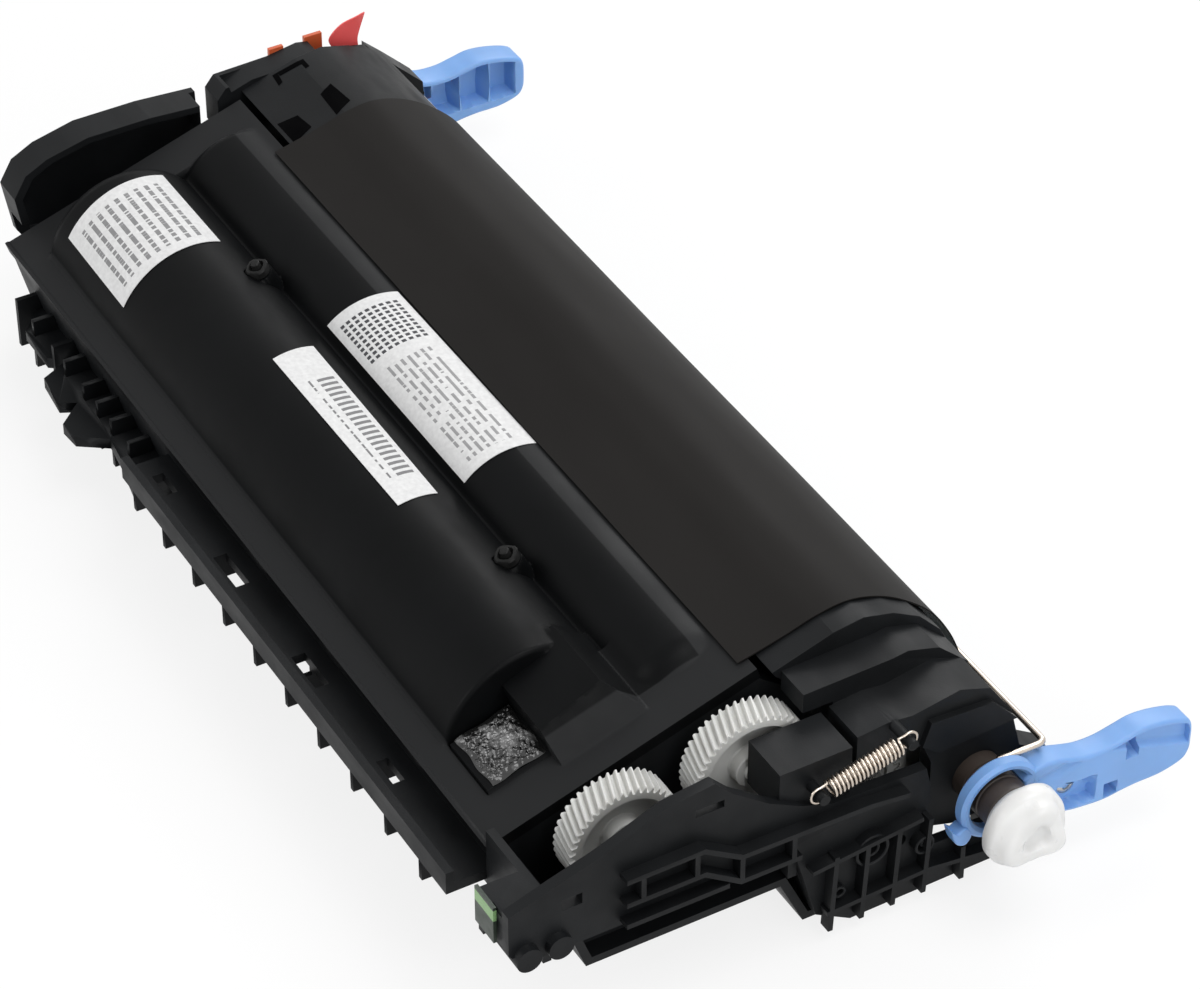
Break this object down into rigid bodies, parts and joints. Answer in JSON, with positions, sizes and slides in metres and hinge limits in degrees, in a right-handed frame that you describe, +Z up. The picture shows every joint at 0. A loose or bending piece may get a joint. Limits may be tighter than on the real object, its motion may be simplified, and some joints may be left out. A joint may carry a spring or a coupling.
{
  "type": "toner cartridge",
  "caption": "Long flat printer toner cartridge: twin-trough hopper with paper labels, covered drum, helical gear train, round drive coupling, tension spring and blue end handles.",
  "frame": {"origin": "on the hopper's flat underside, midway along the hopper's length between its end walls' datum and 61.5 mm from the drum axis", "axes": "+X along the length towards the drive coupling, +Y towards the drum and handles, +Z up from the flat underside"},
  "size_m": [0.327, 0.1703, 0.068],
  "materials": {
    "black_plastic": "fine moulded texture",
    "soft_black": "satin",
    "clear_film": "crumpled gloss film",
    "red_film": "satin film",
    "label_paper": "coated paper",
    "white_plastic": "natural satin",
    "steel": "bright",
    "spring_steel": "bright wire",
    "roller_rubber": "ground",
    "roller_foam": "foam",
    "chip_board": "circuit board",
    "shield_film": "satin film",
    "drum_coating": "mirror smooth",
    "brown_plastic": "satin",
    "urethane": "satin",
    "blue_plastic": "satin",
    "orange_plastic": "satin"
  },
  "bodies": {
    "hopper_unit": {"hopper_frame": "black_plastic", "hopper_lid": "black_plastic", "lid_rivets": "black_plastic", "toner_seal": "clear_film", "fill_plug": "soft_black", "seal_tape": "clear_film", "label_left": "label_paper", "label_centre": "label_paper", "label_bars": "label_paper", "gear_pins": "steel", "developer_bearings": "white_plastic", "doctor_blade": "steel", "memory_chip": "chip_board", "drive_side_cover": "black_plastic", "idle_side_cover": "black_plastic", "tension_spring": "spring_steel", "pivot_pins": "steel"},
    "drum_unit": {"cleaner_frame": "black_plastic", "drive_end_frame": "black_plastic", "idle_end_frame": "black_plastic", "light_shield_sheet": "shield_film", "shield_wire": "steel", "drum_pin": "steel", "drum_bearing": "brown_plastic", "charge_bearings": "white_plastic", "charge_springs": "spring_steel", "cleaning_blade": "urethane", "blade_holder": "steel", "drive_side_handle": "blue_plastic", "idle_side_handle": "blue_plastic", "handle_screws": "steel", "lock_clips": "orange_plastic", "pull_tab": "red_film"},
    "drum": {"drum_tube": "drum_coating", "drum_gear": "white_plastic", "idle_flange": "white_plastic", "drum_coupling": "white_plastic"},
    "developer": {"developer_shaft": "steel", "developer_roller": "roller_rubber", "developer_gear": "white_plastic"},
    "supply": {"supply_shaft": "steel", "supply_roller": "roller_foam", "supply_gear": "white_plastic"},
    "idler_a": {"idler_gear_a": "white_plastic"},
    "idler_b": {"idler_gear_b": "white_plastic"},
    "agitator_left": {"agitator_a": "white_plastic", "agitator_gear_a": "white_plastic"},
    "agitator_right": {"agitator_b": "white_plastic", "agitator_gear_b": "white_plastic"},
    "charge": {"charge_shaft": "steel", "charge_roller": "roller_rubber"}
  },
  "joints": [
    {"name": "unit_pivot", "type": "hinge", "parent": "hopper_unit", "child": "drum_unit", "pos_m": [0, 0.0639, 0.0055], "axis": [-1, 0, 0], "range_deg": [0, 1.5], "stiffness_Nm_per_rad": 1, "springref_deg": -11.46, "deforming": ["tension_spring"]},
    {"name": "drum_spin", "type": "hinge", "parent": "drum_unit", "child": "drum", "pos_m": [0, 0.0615, 0.0254], "axis": [1, 0, 0], "continuous": true},
    {"name": "charge_spin", "type": "hinge", "parent": "drum_unit", "child": "charge", "pos_m": [0, 0.05756, 0.04317], "axis": [1, 0, 0], "continuous": true},
    {"name": "developer_spin", "type": "hinge", "parent": "hopper_unit", "child": "developer", "pos_m": [0, 0.04121, 0.02302], "axis": [1, 0, 0], "continuous": true},
    {"name": "supply_spin", "type": "hinge", "parent": "hopper_unit", "child": "supply", "pos_m": [0, 0.02953, 0.01356], "axis": [1, 0, 0], "continuous": true},
    {"name": "idler_a_spin", "type": "hinge", "parent": "hopper_unit", "child": "idler_a", "pos_m": [0, 0.02854, 0.02856], "axis": [1, 0, 0], "continuous": true},
    {"name": "idler_b_spin", "type": "hinge", "parent": "hopper_unit", "child": "idler_b", "pos_m": [0, -0.00212, 0.02557], "axis": [1, 0, 0], "continuous": true},
    {"name": "agitator_left_spin", "type": "hinge", "parent": "hopper_unit", "child": "agitator_left", "pos_m": [0, -0.0195, 0.0338], "axis": [1, 0, 0], "continuous": true},
    {"name": "agitator_right_spin", "type": "hinge", "parent": "hopper_unit", "child": "agitator_right", "pos_m": [0, 0.012, 0.0395], "axis": [1, 0, 0], "continuous": true}
  ],
  "couplings": [
    {"joint": "developer_spin", "follows": "drum_spin", "ratio": -1.6154},
    {"joint": "supply_spin", "follows": "drum_spin", "ratio": 1.75},
    {"joint": "idler_a_spin", "follows": "drum_spin", "ratio": 2.1},
    {"joint": "agitator_right_spin", "follows": "drum_spin", "ratio": -0.91304},
    {"joint": "idler_b_spin", "follows": "drum_spin", "ratio": 2.1},
    {"joint": "agitator_left_spin", "follows": "drum_spin", "ratio": -0.95454},
    {"joint": "charge_spin", "follows": "drum_spin", "ratio": -2.0339}
  ]
}
